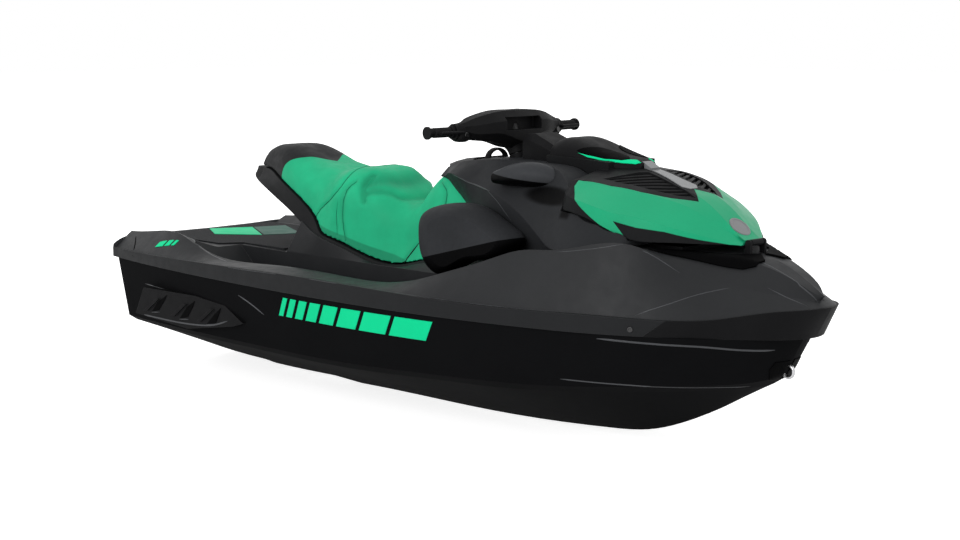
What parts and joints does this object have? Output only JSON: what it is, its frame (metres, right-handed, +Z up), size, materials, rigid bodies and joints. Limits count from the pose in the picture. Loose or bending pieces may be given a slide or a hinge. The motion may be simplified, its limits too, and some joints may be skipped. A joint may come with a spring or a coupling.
{
  "type": "personal watercraft",
  "caption": "Sit-on jet-driven personal watercraft with stepped seat, footwells, steered pump nozzle, reverse gate and lifting hood over front storage.",
  "frame": {"origin": "on the waterline, on the centreline at mid-length", "axes": "+X towards the bow, +Y to port, +Z up"},
  "size_m": [3.318, 1.2562, 1.151],
  "materials": {
    "hull_gelcoat": "satin black hull moulding",
    "deck_moulding": "fine grained dark grey moulding",
    "trim_black": "textured black plastic",
    "gloss_black": "gloss black plastic",
    "cast_alloy": "cast aluminium",
    "engine_metal": "plain dark metal",
    "bin_plastic": "moulded bin",
    "bright_metal": "stainless steel",
    "seat_base": "moulded seat base",
    "seat_vinyl": "green marine vinyl",
    "grip_rubber": "soft black rubber",
    "mat_foam": "ribbed foam mat",
    "hood_plastic": "satin dark grey moulded hood",
    "hood_green": "green gloss moulding",
    "grey_trim": "mid grey moulded trim",
    "mirror_glass": "tinted mirror",
    "bar_metal": "black coated steel",
    "gate_plastic": "black moulded gate"
  },
  "bodies": {
    "root": {"hull_shell": "hull_gelcoat", "deck": "deck_moulding", "rub_rail": "deck_moulding", "stern_bumper": "gloss_black", "sponsons": "trim_black", "ride_plate": "trim_black", "intake_grate": "cast_alloy", "pump_housing": "cast_alloy", "engine_block": "engine_metal", "storage_bin": "bin_plastic", "bow_eye": "bright_metal", "stern_eye": "bright_metal", "seat_pan": "seat_base", "passenger_cushion": "seat_vinyl", "driver_cushion": "seat_vinyl", "grab_handle": "grip_rubber", "footwell_mats": "mat_foam", "console_fairing": "deck_moulding", "column_cover": "trim_black", "steering_bushing": "trim_black", "speaker_pods": "trim_black", "mirror_housings": "trim_black", "hinge_lugs": "trim_black", "bow_bumper": "trim_black", "platform_mat": "mat_foam", "latch_loop": "grip_rubber", "mirror_glasses": "mirror_glass"},
    "hood": {"hood_shell": "hood_plastic", "hood_panel": "hood_green", "hood_grille": "trim_black", "ridge_strip": "grey_trim", "gauge_visor": "trim_black", "gauge_display": "gloss_black", "visor_tip": "grey_trim"},
    "handlebar": {"steering_stem": "bar_metal", "handlebar_tube": "bar_metal", "handlebar_cover": "grip_rubber", "grips": "grip_rubber", "brake_lever": "trim_black", "throttle_lever": "trim_black"},
    "glovebox": {"glovebox_lid": "gloss_black"},
    "nozzle": {"steering_nozzle": "cast_alloy"},
    "gate": {"reverse_gate": "gate_plastic"},
    "rotor": {"impeller": "bright_metal"}
  },
  "joints": [
    {"name": "steering", "type": "hinge", "parent": "root", "child": "handlebar", "pos_m": [0.2986, 0, 0.7607], "axis": [-0.342, 0, 0.9397], "range_deg": [-25, 25]},
    {"name": "nozzle_steer", "type": "hinge", "parent": "root", "child": "nozzle", "pos_m": [-1.4066, 0, -0.07], "axis": [0, 0, 1], "range_deg": [-20, 20]},
    {"name": "reverse_gate_swing", "type": "hinge", "parent": "root", "child": "gate", "pos_m": [-1.4066, 0, -0.07], "axis": [0, -1, 0], "range_deg": [0, 66]},
    {"name": "impeller_spin", "type": "hinge", "parent": "root", "child": "rotor", "pos_m": [-1.3106, 0, -0.07], "axis": [1, 0, 0], "continuous": true},
    {"name": "hood_hinge", "type": "hinge", "parent": "root", "child": "hood", "pos_m": [1.3637, 0, 0.5322], "axis": [0, 1, 0], "range_deg": [0, 45]},
    {"name": "glovebox_hinge", "type": "hinge", "parent": "root", "child": "glovebox", "pos_m": [0.1466, 0, 0.7386], "axis": [0, 1, 0], "range_deg": [0, 45]}
  ],
  "couplings": [
    {"joint": "nozzle_steer", "follows": "steering", "ratio": -0.8}
  ]
}
